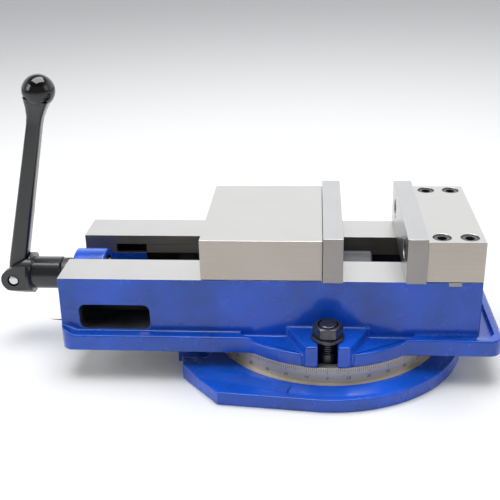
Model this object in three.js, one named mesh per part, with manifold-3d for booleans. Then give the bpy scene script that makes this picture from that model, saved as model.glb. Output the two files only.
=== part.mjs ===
// A machine vise with 160 mm jaws on a swivel base, as the separate pieces it is assembled from.
// Millimetres, +Z up. X runs along the lead screw, from the handle at -X to the fixed jaw at +X.
// The origin is the point where the swivel axis meets the table under the base.
import * as THREE from "three";
import { mergeVertices } from "three/addons/utils/BufferGeometryUtils.js";
import Module from "manifold-3d";

const wasm = await Module();
wasm.setup();

// ---- Driving dimensions ----

const fitGap = 0.3; // between two pieces that touch
const holeGap = 0.3; // between a bolt or journal and its hole, on the radius
const past = 1; // how far a cutter runs past the face it opens

// Swivel base: a turned disc with two clamping ears
const baseTop = 31.5;
const dialRadius = 111;
const dialBottom = 16;
const slopeTopRadius = 118; // a slope runs down from here to the flat rim
const rimInnerRadius = 130;
const rimRadius = 135;
const rimHeight = 13;
const earTurn = 16; // degrees from the X axis to the line of the slope across the ear
const earReach = 170; // beyond the ear's edge
const earSlotWidth = 17;
const earSlotCentreY = -60;
const earSlotInnerX = -120;
const earSlotMouthX = -160; // beyond the ear's edge
const pivotRadius = 15;
const pivotBottom = 14;
const pivotTop = 41;
const baseSides = 60; // facets round the base and the dial

// Ring-shaped T-slot in the base, for the two clamp bolts
const clampRadius = 95;
const throatWidth = 17;
const undercutWidth = 24;
const undercutBottom = 11;
const undercutTop = 21.5;
const loadingHoleRadius = 13; // where the bolts' square heads drop in

// Vise body
const bodyBottom = baseTop + fitGap;
const bedTop = 101;
const bedLeft = -251.5;
const bedRight = 139;
const bedHalfWidth = 75.2;
const channelHalfWidth = 30;
const channelFloor = 46;
const grooveHalfWidth = 40; // grooves under the rails, for the nut's hold-down wings
const grooveBottom = 69;
const grooveTop = 81.7;
const grooveLeft = -187;
const flangeTop = 47.5;
const flangeHalfWidth = 86.5;
const flangeRight = 159.5;
const flangeCorner = flangeHalfWidth - bedHalfWidth;
const gutterRight = 153.5;
const gutterFloor = 41.5;
const gutterCorner = 5;
const discTop = 44;
const lugTop = 54;
const lugRootHalf = 37.5;
const lugTipHalf = 19.6;
const lugTipY = 113.5;
const lugRootDepth = 20; // how far the lug runs into the bed's side
const lugBottom = 33.5; // the lug stands just clear of the base
const lugSlotWidth = 17.8;
const windowLeft = -233.4;
const windowRight = -167;
const windowBottom = 49;
const windowTop = 73.4;
const windowCorner = 6;
const chamberLeft = -237.4; // hollow behind the windows
const chamberRight = -155;
const chamberTop = 78.4;
const chamberHalfWidth = 62;
const portLeft = -218.5; // opening high in the channel's wall, into the chamber behind the window
const portTop = 91.5;
const portHalfWidth = 54;
const gussetTop = 54;
const gussetRun = 14;
const jawBoltHoleDepth = 32;

// Screw line
const screwZ = 72.2;
const bossRadius = 25.3;
const bossLeft = -253.5;
const bossRight = -221.5;
const bossFootRight = -223.5;
const journalRadius = 11;
const threadRadius = 12.5;
const shoulderRadius = 16;
const screwRight = 40;
const bearingRadius = 18.6;
const bearingSeat = -235.5; // floor of the bearing's counterbore in the boss
const washerThickness = 2.5;
const cageThickness = 4;
const shoulderThickness = 7.5;
const driveHexFlats = 19;
const driveHexSink = 2; // between the hexagon's end and the hub's end
const setScrewRadius = 3;
const setScrewSink = 0.3;
const setScrewFlats = 3;
const setScrewSocketDepth = 2;

// Fixed jaw, on the bed's right end
const jawTop = 140.2;
const jawBottom = bedTop + fitGap;
const fixedJawLeft = 87.9;
const keyLeft = 108.2;
const keyRight = 119.8;
const keyBottom = 97.2;
const keyTop = 104.8;
const keyTopHalf = 66; // above the bed, the key stops short of the jaw's faces
const jawBoltX = [101, 125.7];
const jawBoltY = 63;
const keyGap = 0.1; // at the key's sides, where its ends keep twice that above and below

// Jaw plates
const plateHalfWidth = 80;
const plateTop = 144.5;
const plateThickness = 18.2;
const plateScrewY = 50;
const plateScrewZ = 124.5;

// Socket head screws: M10 down through the fixed jaw, M12 through the jaw plates
const m10 = { headRadius: 8, headHeight: 10, shankRadius: 5, socketFlats: 8, socketDepth: 5, boreRadius: 8.3 };
const m12 = { headRadius: 9, headHeight: 12, shankRadius: 6, socketFlats: 10, socketDepth: 6, boreRadius: 10 };
const headSink = 0.8; // depth of the head under the face
const drillPast = 2; // a screw's hole is this much deeper than its end

// Movable jaw and its nut
const movingJawLeft = -116.8;
const movingPlateLeft = -5.1;
const pocketLeft = -98;
const pocketHalfWidth = 26;
const pocketTop = 128;
const skirtBottom = 92;
const nutRadius = 24.5;
const nutLeft = -78;
const nutRight = 44;
const towerHalfWidth = 20;
const towerTop = 124;
const holdDownHalfWidth = 39;
const holdDownRight = -30;
const ballRadius = 11;
const ballCentre = new THREE.Vector3(-40, 0, 112);
const wedgeAngle = Math.PI / 4; // slope of the faces that the half ball sits between
const clearOfJaw = 3.3; // between the nut's slope and the jaw's
const grooveGap = 0.5; // above and below the nut's wings
const lockScrewRadius = 5;
const lockScrewZ = 116;
const lockScrewSink = 2;
const lockScrewFlats = 5;
const lockScrewSocketDepth = 6;

// Handle
const hubRadius = 16.4;
const hubLeft = -298;
const hubRight = -268.5;
const collarRadius = 15.3;
const forkRadius = 20.7;
const forkHalfWidth = 16;
const forkRight = -295;
const forkSlotHalf = 9;
const forkSlotRight = -300.8;
const forkEndRadius = 12.4;
const forkRootX = -300;
const forkRootHalf = 18.5;
const handlePinX = -316.6;
const handlePinZ = 69.6;
const handlePinRadius = 5.1;
const handlePinGap = 0.2;
const handlePinSink = 0.5;
const handleLean = THREE.MathUtils.degToRad(13.2);
const handleReach = 195.6; // pin to the middle of the ball
const handleBallRadius = 15.6;
const armFootRadius = 8.6;
const armMiddleRadius = 7.2;
const armMiddleHeight = 85;
const armNeckRadius = 6.4;
const armNeckBelowBall = 24;
const armFlareRadius = 11;
const armFlareBelowBall = 8;
const armStart = 4;
const armOverlap = 0.1; // how far each length of the arm runs into the next

// Clamp bolts, washers and nuts, M16
const clampShankRadius = 8;
const clampWasherRadius = 15;
const clampWasherThickness = 3;
const clampNutFlats = 24;
const clampNutHeight = 10.6;
const clampBoltTop = 69;

// ---- Shape helpers ----

// A closed three.js geometry as a solid that can be joined and cut.
function solidOf(geometry) {
  geometry.deleteAttribute("normal");
  geometry.deleteAttribute("uv");
  const merged = mergeVertices(geometry, 1e-4);
  return new wasm.Manifold(
    new wasm.Mesh({
      numProp: 3,
      vertProperties: new Float32Array(merged.attributes.position.array),
      triVerts: new Uint32Array(merged.index.array),
    }),
  );
}

function geometryOf(solid) {
  const mesh = solid.getMesh();
  const geometry = new THREE.BufferGeometry();
  geometry.setAttribute("position", new THREE.BufferAttribute(mesh.vertProperties, 3));
  geometry.setIndex(new THREE.BufferAttribute(mesh.triVerts, 1));
  const flat = geometry.toNonIndexed();
  flat.computeVertexNormals();
  return flat;
}

// A box between two corners.
function block(x0, x1, y0, y1, z0, z1) {
  const geometry = new THREE.BoxGeometry(x1 - x0, y1 - y0, z1 - z0);
  geometry.translate((x0 + x1) / 2, (y0 + y1) / 2, (z0 + z1) / 2);
  return solidOf(geometry);
}

// Upright round bar, or a prism when it has few sides.
function post(radius, x, y, z0, z1, sides = 28) {
  const geometry = new THREE.CylinderGeometry(radius, radius, z1 - z0, sides);
  geometry.rotateX(Math.PI / 2);
  geometry.translate(x, y, (z0 + z1) / 2);
  return solidOf(geometry);
}

// Round bar along X.
function barX(radius, x0, x1, y, z, sides = 32) {
  const geometry = new THREE.CylinderGeometry(radius, radius, x1 - x0, sides);
  geometry.rotateZ(-Math.PI / 2);
  geometry.translate((x0 + x1) / 2, y, z);
  return solidOf(geometry);
}

// Round bar along Y.
function barY(radius, x, y0, y1, z, sides = 24) {
  const geometry = new THREE.CylinderGeometry(radius, radius, y1 - y0, sides);
  geometry.translate(x, (y0 + y1) / 2, z);
  return solidOf(geometry);
}

// A turned piece about Z, from [radius, z] points that start and end on the axis.
function turned(points, sides = baseSides) {
  const profile = points.map(([radius, z]) => new THREE.Vector2(radius, z));
  const geometry = new THREE.LatheGeometry(profile, sides);
  geometry.rotateX(Math.PI / 2);
  return solidOf(geometry);
}

// A flat outline in X and Y, raised from z0 to z1.
function slab(shape, z0, z1, curveSegments = 6) {
  const geometry = new THREE.ExtrudeGeometry(shape, { depth: z1 - z0, bevelEnabled: false, curveSegments });
  geometry.translate(0, 0, z0);
  return solidOf(geometry);
}

function outline(points) {
  return new THREE.Shape(points.map(([x, y]) => new THREE.Vector2(x, y)));
}

// A rectangle whose four corners are round.
function roundedRect(x0, x1, y0, y1, r) {
  const shape = new THREE.Shape();
  shape.moveTo(x0 + r, y0);
  shape.lineTo(x1 - r, y0);
  shape.absarc(x1 - r, y0 + r, r, -Math.PI / 2, 0);
  shape.lineTo(x1, y1 - r);
  shape.absarc(x1 - r, y1 - r, r, 0, Math.PI / 2);
  shape.lineTo(x0 + r, y1);
  shape.absarc(x0 + r, y1 - r, r, Math.PI / 2, Math.PI);
  shape.lineTo(x0, y0 + r);
  shape.absarc(x0 + r, y0 + r, r, Math.PI, 1.5 * Math.PI);
  return shape;
}

// The circle that passes through a hexagon's corners, from its width across flats.
const hexCorner = (flats) => flats / Math.sqrt(3);

function joined(...solids) {
  return solids.reduce((whole, piece) => whole.add(piece));
}

function cut(solid, ...cutters) {
  return cutters.reduce((left, cutter) => left.subtract(cutter), solid);
}

// The same solid turned half a turn about the swivel axis.
function halfTurn(solid) {
  return solid.rotate([0, 0, 180]);
}

// ---- Finishes ----

const finish = {
  enamel: new THREE.MeshStandardMaterial({ color: "#2348b8", roughness: 0.3, metalness: 0 }),
  groundSteel: new THREE.MeshStandardMaterial({ color: "#c9c6c0", roughness: 0.35, metalness: 0.9 }),
  hardSteel: new THREE.MeshStandardMaterial({ color: "#b5b1ab", roughness: 0.3, metalness: 0.9 }),
  blackOxide: new THREE.MeshStandardMaterial({ color: "#2b2b2d", roughness: 0.45, metalness: 0.7 }),
  blackPaint: new THREE.MeshStandardMaterial({ color: "#2e2f2e", roughness: 0.4, metalness: 0 }),
  zinc: new THREE.MeshStandardMaterial({ color: "#d6d8d8", roughness: 0.3, metalness: 1 }),
  bronze: new THREE.MeshStandardMaterial({ color: "#b08d57", roughness: 0.4, metalness: 0.9 }),
};

const vise = new THREE.Group();

function addPiece(name, solid, material) {
  const mesh = new THREE.Mesh(geometryOf(solid), material);
  mesh.name = name;
  vise.add(mesh);
}

// ---- Swivel base ----

// One clamping ear, at the front left: a flat plate whose front edge leaves the rim nearly tangent.
const earOutline = [
  [-16, -134],
  [-99.5, -126],
  [-137, -82.5],
  [-139, -69],
  [-146, -50],
  [-146, -40],
  [-131, -32],
  [-60, 0],
  [-31.1, -108.5],
  [-35.9, -125.2],
];

function makeSwivelBase() {
  const disc = turned([
    [0, 0],
    [rimRadius, 0],
    [rimRadius, rimHeight],
    [rimInnerRadius, rimHeight],
    [slopeTopRadius, dialBottom],
    [dialRadius, dialBottom],
    [dialRadius, baseTop],
    [0, baseTop],
  ]);
  // The disc's slope runs straight on across the ear, up to a flat round the slot.
  const raised = wasm.Manifold.hull([
    block(-earReach, 0, -rimInnerRadius, 0, 0, rimHeight),
    block(-earReach, 0, -slopeTopRadius, 0, 0, dialBottom),
  ]).rotate([0, 0, -earTurn]);
  const ear = joined(
    slab(outline(earOutline), 0, rimHeight),
    slab(outline(earOutline), 0, dialBottom).intersect(raised),
  );
  const slotHalf = earSlotWidth / 2;
  const slot = joined(
    block(earSlotMouthX, earSlotInnerX, earSlotCentreY - slotHalf, earSlotCentreY + slotHalf, -past, baseTop),
    post(slotHalf, earSlotInnerX, earSlotCentreY, -past, baseTop, 24),
  );
  const ring = (half, z0, z1) =>
    cut(
      post(clampRadius + half, 0, 0, z0, z1, baseSides),
      post(clampRadius - half, 0, 0, z0 - past, z1 + past, baseSides),
    );
  const loadingHole = (side) =>
    post(loadingHoleRadius, side * clampRadius, 0, undercutBottom, baseTop + past, 32);
  return cut(
    joined(disc, ear, halfTurn(ear)),
    slot,
    halfTurn(slot),
    ring(throatWidth / 2, undercutBottom, baseTop + past),
    ring(undercutWidth / 2, undercutBottom, undercutTop),
    loadingHole(1),
    loadingHole(-1),
    post(pivotRadius + holeGap, 0, 0, pivotBottom - fitGap, baseTop + past),
  );
}

addPiece("swivel_base", makeSwivelBase(), finish.enamel);
addPiece("swivel_pivot_pin", post(pivotRadius, 0, 0, pivotBottom, pivotTop), finish.groundSteel);

// ---- Vise body ----

// One clamp lug, with its slot open to the front. side is -1 for the front and 1 for the rear.
function clampLug(side) {
  const tip = side * lugTipY;
  const shape = outline([
    [-lugRootHalf, side * (bedHalfWidth - lugRootDepth)],
    [-lugRootHalf, side * bedHalfWidth],
    [-lugTipHalf, tip],
    [lugTipHalf, tip],
    [lugRootHalf, side * bedHalfWidth],
    [lugRootHalf, side * (bedHalfWidth - lugRootDepth)],
  ]);
  return slab(shape, lugBottom, lugTop);
}

function clampSlot(side) {
  const mouth = lugTipY + past;
  const y0 = side < 0 ? -mouth : clampRadius;
  const y1 = side < 0 ? -clampRadius : mouth;
  return joined(
    block(-lugSlotWidth / 2, lugSlotWidth / 2, y0, y1, bodyBottom - past, lugTop + past),
    post(lugSlotWidth / 2, 0, side * clampRadius, bodyBottom - past, lugTop + past, 24),
  );
}

// A flat outline in X and Z, raised from y0 to y1.
function slabY(shape, y0, y1) {
  const geometry = new THREE.ExtrudeGeometry(shape, { depth: y1 - y0, bevelEnabled: false, curveSegments: 6 });
  geometry.rotateX(Math.PI / 2);
  geometry.translate(0, y1, 0);
  return solidOf(geometry);
}

// Sloped webs from the bed's sides out to the flange's edges, at the left end.
function cornerGussets(flangeOutline) {
  const profile = outline([
    [bedLeft, flangeTop - past],
    [bedLeft + gussetRun, flangeTop - past],
    [bedLeft + gussetRun, flangeTop],
    [bedLeft, gussetTop],
  ]);
  return slabY(profile, -flangeHalfWidth, flangeHalfWidth).intersect(slab(flangeOutline, bodyBottom, gussetTop));
}

// The rounded window through the front wall near the handle.
function sideWindow() {
  const shape = roundedRect(windowLeft, windowRight, windowBottom, windowTop, windowCorner);
  return slabY(shape, -flangeHalfWidth, 0);
}

function makeViseBody() {
  const flangeOutline = roundedRect(bedLeft, flangeRight, -flangeHalfWidth, flangeHalfWidth, flangeCorner);
  const overDisc = post(dialRadius, 0, 0, discTop, flangeTop + past, baseSides);
  const flange = slab(flangeOutline, bodyBottom, flangeTop).subtract(overDisc);
  const walls = block(bedLeft, bedRight, -bedHalfWidth, bedHalfWidth, bodyBottom, bedTop);
  const disc = post(dialRadius, 0, 0, bodyBottom, discTop, baseSides);
  const outside = joined(flange, walls, disc, clampLug(-1), clampLug(1), cornerGussets(flangeOutline));

  const hollow = cut(
    outside,
    block(bedLeft - past, bedRight + past, -channelHalfWidth, channelHalfWidth, channelFloor, bedTop + past),
    block(grooveLeft, bedRight + past, -grooveHalfWidth, grooveHalfWidth, grooveBottom, grooveTop),
    block(chamberLeft, chamberRight, -chamberHalfWidth, chamberHalfWidth, windowBottom, chamberTop),
    block(portLeft, grooveLeft, -portHalfWidth, portHalfWidth, windowTop, portTop),
    sideWindow(),
    clampSlot(-1),
    clampSlot(1),
  );

  const footHalf = channelHalfWidth + past;
  const bossFoot = block(bedLeft, bossFootRight, -footHalf, footHalf, channelFloor - past, screwZ);
  const boss = joined(barX(bossRadius, bossLeft, bossRight, 0, screwZ), bossFoot);

  const gutterOutline = roundedRect(bedRight, gutterRight, -bedHalfWidth, bedHalfWidth, gutterCorner);
  const gutter = slab(gutterOutline, gutterFloor, flangeTop + past);
  const pastSide = bedHalfWidth + past;
  const jawBoltHole = (x, y) =>
    post(m10.shankRadius + holeGap, x, y, bedTop - jawBoltHoleDepth, bedTop + past, 12);
  const jawBoltHoles = jawBoltX.flatMap((x) => [jawBoltHole(x, -jawBoltY), jawBoltHole(x, jawBoltY)]);
  return cut(
    hollow.add(boss),
    barX(journalRadius + holeGap, bossLeft - past, bossRight + past, 0, screwZ),
    barX(bearingRadius + holeGap, bearingSeat, bossRight + past, 0, screwZ),
    gutter,
    block(keyLeft - keyGap, keyRight + keyGap, -pastSide, pastSide, keyBottom - 2 * keyGap, bedTop + past),
    post(pivotRadius + holeGap, 0, 0, bodyBottom - past, pivotTop + fitGap),
    ...jawBoltHoles,
  );
}

addPiece("vise_body", makeViseBody(), finish.enamel);

// ---- Socket head screws ----

// Made upright at the origin, with the top of the head at z = 0.
function capScrew(size, length) {
  return cut(
    joined(
      post(size.headRadius, 0, 0, -size.headHeight, 0, 20),
      post(size.shankRadius, 0, 0, -size.headHeight - length, -size.headHeight + past, 12),
    ),
    post(hexCorner(size.socketFlats), 0, 0, -size.socketDepth, past, 6),
  );
}

// A hole for such a screw: counterbore and clearance, opening at z = 0.
function capScrewHole(size, length) {
  const seat = -size.headHeight - headSink - fitGap;
  return joined(
    post(size.boreRadius, 0, 0, seat, past, 20),
    post(size.shankRadius + holeGap, 0, 0, seat - length - drillPast, 0, 12),
  );
}

// ---- Fixed jaw ----

const jawBoltLength = 44;
const plateScrewLength = 26;

// A jaw plate screw lies along X: facing -1 has its head towards -X, facing 1 towards +X.
function alongX(solid, facing, x, y) {
  return solid.rotate([0, facing * 90, 0]).translate([x, y, plateScrewZ]);
}

const fixedPlateRight = fixedJawLeft - fitGap;
const fixedPlateLeft = fixedPlateRight - plateThickness;
const movingPlateRight = movingPlateLeft + plateThickness;
const plateScrewYs = [-plateScrewY, plateScrewY];

function makeFixedJaw() {
  const keywayHalf = keyTopHalf + keyGap;
  const holes = jawBoltX.flatMap((x) =>
    [-jawBoltY, jawBoltY].map((y) => capScrewHole(m10, jawBoltLength).translate([x, y, jawTop])),
  );
  return cut(
    block(fixedJawLeft, bedRight, -bedHalfWidth, bedHalfWidth, jawBottom, jawTop),
    block(keyLeft - keyGap, keyRight + keyGap, -keywayHalf, keywayHalf, jawBottom - past, keyTop + 2 * keyGap),
    ...holes,
    ...plateScrewYs.map((y) => alongX(capScrewHole(m12, plateScrewLength), -1, fixedPlateLeft, y)),
  );
}

addPiece("fixed_jaw", makeFixedJaw(), finish.groundSteel);
const key = joined(
  block(keyLeft, keyRight, -bedHalfWidth, bedHalfWidth, keyBottom, bedTop),
  block(keyLeft, keyRight, -keyTopHalf, keyTopHalf, bedTop - past, keyTop),
);
addPiece("fixed_jaw_key", key, finish.hardSteel);

let boltNumber = 0;
for (const x of jawBoltX) {
  for (const y of [-jawBoltY, jawBoltY]) {
    boltNumber += 1;
    const bolt = capScrew(m10, jawBoltLength).translate([x, y, jawTop - headSink]);
    addPiece(`fixed_jaw_bolt_${boltNumber}`, bolt, finish.blackOxide);
  }
}

// A hardened jaw plate from x0 to x1, whose screws enter from the face that looks along facing.
function jawPlate(x0, x1, facing) {
  const face = facing < 0 ? x0 : x1;
  return cut(
    block(x0, x1, -plateHalfWidth, plateHalfWidth, jawBottom, plateTop),
    ...plateScrewYs.map((y) => alongX(capScrewHole(m12, plateScrewLength), facing, face, y)),
  );
}

addPiece("fixed_jaw_plate", jawPlate(fixedPlateLeft, fixedPlateRight, -1), finish.hardSteel);
addPiece("movable_jaw_plate", jawPlate(movingPlateLeft, movingPlateRight, 1), finish.hardSteel);
plateScrewYs.forEach((y, i) => {
  const fixedHead = alongX(capScrew(m12, plateScrewLength), -1, fixedPlateLeft + headSink, y);
  const movingHead = alongX(capScrew(m12, plateScrewLength), 1, movingPlateRight - headSink, y);
  addPiece(`fixed_plate_screw_${i + 1}`, fixedHead, finish.blackOxide);
  addPiece(`movable_plate_screw_${i + 1}`, movingHead, finish.blackOxide);
});

// ---- Movable jaw, nut and the half ball between them ----

// Everything on the handle side of a sloped plane that lies offset beyond the middle of the half ball.
function belowWedge(offset) {
  const size = 400;
  const geometry = new THREE.BoxGeometry(size, size, size);
  geometry.translate(-size / 2 + offset, 0, 0);
  geometry.rotateY(-wedgeAngle);
  geometry.translate(ballCentre.x, ballCentre.y, ballCentre.z);
  return solidOf(geometry);
}

function makeMovableJaw() {
  const right = movingPlateLeft - fitGap;
  const below = jawBottom - past;
  const pocket = block(pocketLeft, right + past, -pocketHalfWidth, pocketHalfWidth, below, pocketTop);
  const skirt = (side) => {
    const inner = side * pocketHalfWidth;
    const outer = side * (channelHalfWidth - fitGap);
    const across = [Math.min(inner, outer), Math.max(inner, outer)];
    return block(movingJawLeft, right, ...across, skirtBottom, jawBottom + past);
  };
  const jaw = block(movingJawLeft, right, -bedHalfWidth, bedHalfWidth, jawBottom, jawTop);
  return cut(
    joined(jaw, skirt(-1), skirt(1)),
    pocket.intersect(belowWedge(fitGap)),
    barX(lockScrewRadius + holeGap, movingJawLeft - past, pocketLeft + past, 0, lockScrewZ, 20),
    ...plateScrewYs.map((y) => alongX(capScrewHole(m12, plateScrewLength), 1, movingPlateRight, y)),
  );
}

function makeJawNut() {
  const barrel = barX(nutRadius, nutLeft, nutRight, 0, screwZ);
  const tower = block(nutLeft, movingPlateLeft, -towerHalfWidth, towerHalfWidth, screwZ, towerTop);
  const wingBottom = grooveBottom + grooveGap;
  const across = [-holdDownHalfWidth, holdDownHalfWidth];
  const wings = block(nutLeft, holdDownRight, ...across, wingBottom, grooveTop - grooveGap);
  const seat = new THREE.SphereGeometry(ballRadius + fitGap, 20, 12);
  seat.translate(ballCentre.x, ballCentre.y, ballCentre.z);
  return cut(
    joined(barrel, tower.intersect(belowWedge(-clearOfJaw)), wings),
    solidOf(seat),
    barX(threadRadius + holeGap, nutLeft - past, nutRight + past, 0, screwZ),
  );
}

function makeHalfBall() {
  const ball = new THREE.SphereGeometry(ballRadius, 20, 12);
  ball.translate(ballCentre.x, ballCentre.y, ballCentre.z);
  return solidOf(ball).intersect(belowWedge(0));
}

const lockScrewLeft = movingJawLeft + lockScrewSink;
addPiece("movable_jaw", makeMovableJaw(), finish.groundSteel);
addPiece("jaw_nut", makeJawNut(), finish.groundSteel);
addPiece("lock_half_ball", makeHalfBall(), finish.hardSteel);
addPiece(
  "jaw_lock_screw",
  cut(
    barX(lockScrewRadius, lockScrewLeft, nutLeft - fitGap, 0, lockScrewZ, 20),
    barX(hexCorner(lockScrewFlats), movingJawLeft, lockScrewLeft + lockScrewSocketDepth, 0, lockScrewZ, 6),
  ),
  finish.blackOxide,
);

// ---- Lead screw and its bearing ----

const outerWasherLeft = bearingSeat + fitGap;
const cageLeft = outerWasherLeft + washerThickness + fitGap;
const innerWasherLeft = cageLeft + cageThickness + fitGap;
const shoulderLeft = innerWasherLeft + washerThickness + fitGap;
const driveHexLeft = hubLeft + driveHexSink;
const collarLeft = hubRight + fitGap;
const collarRight = bossLeft - fitGap;

function bearingRing(x, thickness, radius) {
  return cut(
    barX(radius, x, x + thickness, 0, screwZ),
    barX(journalRadius + holeGap, x - past, x + thickness + past, 0, screwZ),
  );
}

const leadScrew = joined(
  barX(hexCorner(driveHexFlats), driveHexLeft, collarLeft + past, 0, screwZ, 6),
  barX(journalRadius, collarLeft, shoulderLeft + past, 0, screwZ),
  barX(shoulderRadius, shoulderLeft, shoulderLeft + shoulderThickness, 0, screwZ),
  barX(threadRadius, shoulderLeft + shoulderThickness - past, screwRight, 0, screwZ),
);
addPiece("lead_screw", leadScrew, finish.groundSteel);
addPiece("thrust_washer_outer", bearingRing(outerWasherLeft, washerThickness, bearingRadius), finish.hardSteel);
addPiece("thrust_bearing", bearingRing(cageLeft, cageThickness, bearingRadius - past), finish.bronze);
addPiece("thrust_washer_inner", bearingRing(innerWasherLeft, washerThickness, bearingRadius), finish.hardSteel);

// The collar that holds the screw in from outside, with its set screw on top.
const setScrewX = (collarLeft + collarRight) / 2;
const setScrewTop = screwZ + collarRadius - setScrewSink;
const setScrewBottom = screwZ + journalRadius + holeGap;
addPiece(
  "thrust_collar",
  cut(
    bearingRing(collarLeft, collarRight - collarLeft, collarRadius),
    post(setScrewRadius + holeGap, setScrewX, 0, screwZ, screwZ + collarRadius + past, 16),
  ),
  finish.blackOxide,
);
addPiece(
  "collar_set_screw",
  cut(
    post(setScrewRadius, setScrewX, 0, setScrewBottom, setScrewTop, 16),
    post(hexCorner(setScrewFlats), setScrewX, 0, setScrewTop - setScrewSocketDepth, setScrewTop + past, 6),
  ),
  finish.blackOxide,
);

// ---- Handle ----

// The fork's side view: round about the pin, widening to the root beside the hub.
function forkOutline() {
  const topTangent = THREE.MathUtils.degToRad(113);
  const bottomTangent = THREE.MathUtils.degToRad(258);
  const shape = new THREE.Shape();
  shape.moveTo(forkRight, screwZ - forkRootHalf);
  shape.lineTo(forkRight, screwZ + forkRootHalf);
  shape.lineTo(forkRootX, screwZ + forkRootHalf);
  shape.absarc(handlePinX, handlePinZ, forkEndRadius, topTangent, bottomTangent, false);
  shape.lineTo(forkRootX, screwZ - forkRootHalf);
  return shape;
}

function makeHandleHub() {
  const depth = 2 * forkHalfWidth;
  const side = new THREE.ExtrudeGeometry(forkOutline(), { depth, bevelEnabled: false, curveSegments: 10 });
  side.rotateX(Math.PI / 2);
  side.translate(0, forkHalfWidth, 0);
  const forkLeft = handlePinX - forkEndRadius - past; // beyond the round end
  const fork = solidOf(side).intersect(barX(forkRadius, forkLeft, forkRight, 0, screwZ));
  const root = barX(forkRadius, forkRootX, forkRight, 0, screwZ);
  const barrel = barX(hubRadius, hubLeft, hubRight, 0, screwZ);
  const slotReach = 2 * forkRadius;
  return cut(
    joined(fork, root, barrel),
    block(forkLeft, forkSlotRight, -forkSlotHalf, forkSlotHalf, screwZ - slotReach, screwZ + slotReach),
    barY(handlePinRadius + handlePinGap, handlePinX, -forkHalfWidth - past, forkHalfWidth + past, handlePinZ),
    barX(hexCorner(driveHexFlats) + fitGap, driveHexLeft - fitGap, hubRight + past, 0, screwZ, 6),
  );
}

// The arm is made upright over the pin, then leaned towards the vise.
function makeHandleArm() {
  const section = 16;
  const taper = (lowRadius, highRadius, z0, z1) => {
    const geometry = new THREE.CylinderGeometry(highRadius, lowRadius, z1 - z0, section);
    geometry.rotateX(Math.PI / 2);
    geometry.translate(0, 0, (z0 + z1) / 2);
    return solidOf(geometry);
  };
  const ball = new THREE.SphereGeometry(handleBallRadius, 24, 14);
  ball.translate(0, 0, handleReach);
  const neckZ = handleReach - armNeckBelowBall;
  const tongueHalf = forkSlotHalf - fitGap;
  const shank = joined(
    taper(armFootRadius, armMiddleRadius, armStart, armMiddleHeight),
    taper(armMiddleRadius, armNeckRadius, armMiddleHeight - armOverlap, neckZ),
    taper(armNeckRadius, armFlareRadius, neckZ - armOverlap, handleReach - armFlareBelowBall),
    solidOf(ball),
    barY(forkEndRadius - past, 0, -tongueHalf, tongueHalf, 0),
  );
  return cut(shank, barY(handlePinRadius + handlePinGap, 0, -forkHalfWidth, forkHalfWidth, 0))
    .rotate([0, THREE.MathUtils.radToDeg(handleLean), 0])
    .translate([handlePinX, 0, handlePinZ]);
}

addPiece("handle_hub", makeHandleHub(), finish.blackPaint);
const pinHalf = forkHalfWidth - handlePinSink;
addPiece("handle_pin", barY(handlePinRadius, handlePinX, -pinHalf, pinHalf, handlePinZ), finish.zinc);
addPiece("handle_arm", makeHandleArm(), finish.blackPaint);

// ---- Swivel clamps ----

// A hexagon with two of its flats facing the front and the rear.
function hexNut(x, y, z0, z1) {
  const geometry = new THREE.CylinderGeometry(hexCorner(clampNutFlats), hexCorner(clampNutFlats), z1 - z0, 6);
  geometry.rotateX(Math.PI / 2);
  geometry.rotateZ(Math.PI / 6);
  geometry.translate(x, y, (z0 + z1) / 2);
  return solidOf(geometry);
}

for (const [end, side] of [["front", -1], ["rear", 1]]) {
  const y = side * clampRadius;
  const headHalf = undercutWidth / 2 - past;
  const headTop = undercutTop - fitGap;
  const washerBottom = lugTop + fitGap;
  const nutBottom = washerBottom + clampWasherThickness + fitGap;
  addPiece(
    `t_bolt_${end}`,
    joined(
      block(-headHalf, headHalf, y - headHalf, y + headHalf, undercutBottom + fitGap, headTop),
      post(clampShankRadius, 0, y, headTop - past, clampBoltTop),
    ),
    finish.blackOxide,
  );
  addPiece(
    `swivel_washer_${end}`,
    cut(
      post(clampWasherRadius, 0, y, washerBottom, washerBottom + clampWasherThickness),
      post(clampShankRadius + holeGap, 0, y, lugTop, nutBottom),
    ),
    finish.blackOxide,
  );
  addPiece(
    `swivel_nut_${end}`,
    cut(
      hexNut(0, y, nutBottom, nutBottom + clampNutHeight),
      post(clampShankRadius + holeGap, 0, y, lugTop, nutBottom + clampNutHeight + past),
    ),
    finish.blackOxide,
  );
}

export default vise;
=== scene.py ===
# Looks for a milling machine vise with 160 mm jaws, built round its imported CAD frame.
# Sizes are millimetres in the frame's axes, and finishPiece turns each mesh to metres at the end.
import math

import bmesh
import bpy
from mathutils import Matrix, Vector


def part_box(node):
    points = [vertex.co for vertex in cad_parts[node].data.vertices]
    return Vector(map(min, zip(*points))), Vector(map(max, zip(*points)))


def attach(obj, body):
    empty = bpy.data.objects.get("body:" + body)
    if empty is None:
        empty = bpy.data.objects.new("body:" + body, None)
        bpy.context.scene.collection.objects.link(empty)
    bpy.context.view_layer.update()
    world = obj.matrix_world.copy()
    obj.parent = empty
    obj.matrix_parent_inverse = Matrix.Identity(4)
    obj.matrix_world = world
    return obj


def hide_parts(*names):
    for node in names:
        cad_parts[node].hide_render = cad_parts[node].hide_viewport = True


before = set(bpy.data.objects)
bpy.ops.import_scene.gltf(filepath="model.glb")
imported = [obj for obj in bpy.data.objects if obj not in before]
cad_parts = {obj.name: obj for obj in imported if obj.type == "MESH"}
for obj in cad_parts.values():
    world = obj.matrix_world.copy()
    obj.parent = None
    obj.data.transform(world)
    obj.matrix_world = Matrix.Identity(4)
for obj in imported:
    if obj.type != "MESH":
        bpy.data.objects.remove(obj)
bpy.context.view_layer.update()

past = 1  # how far a cutter runs past the face it opens
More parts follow.
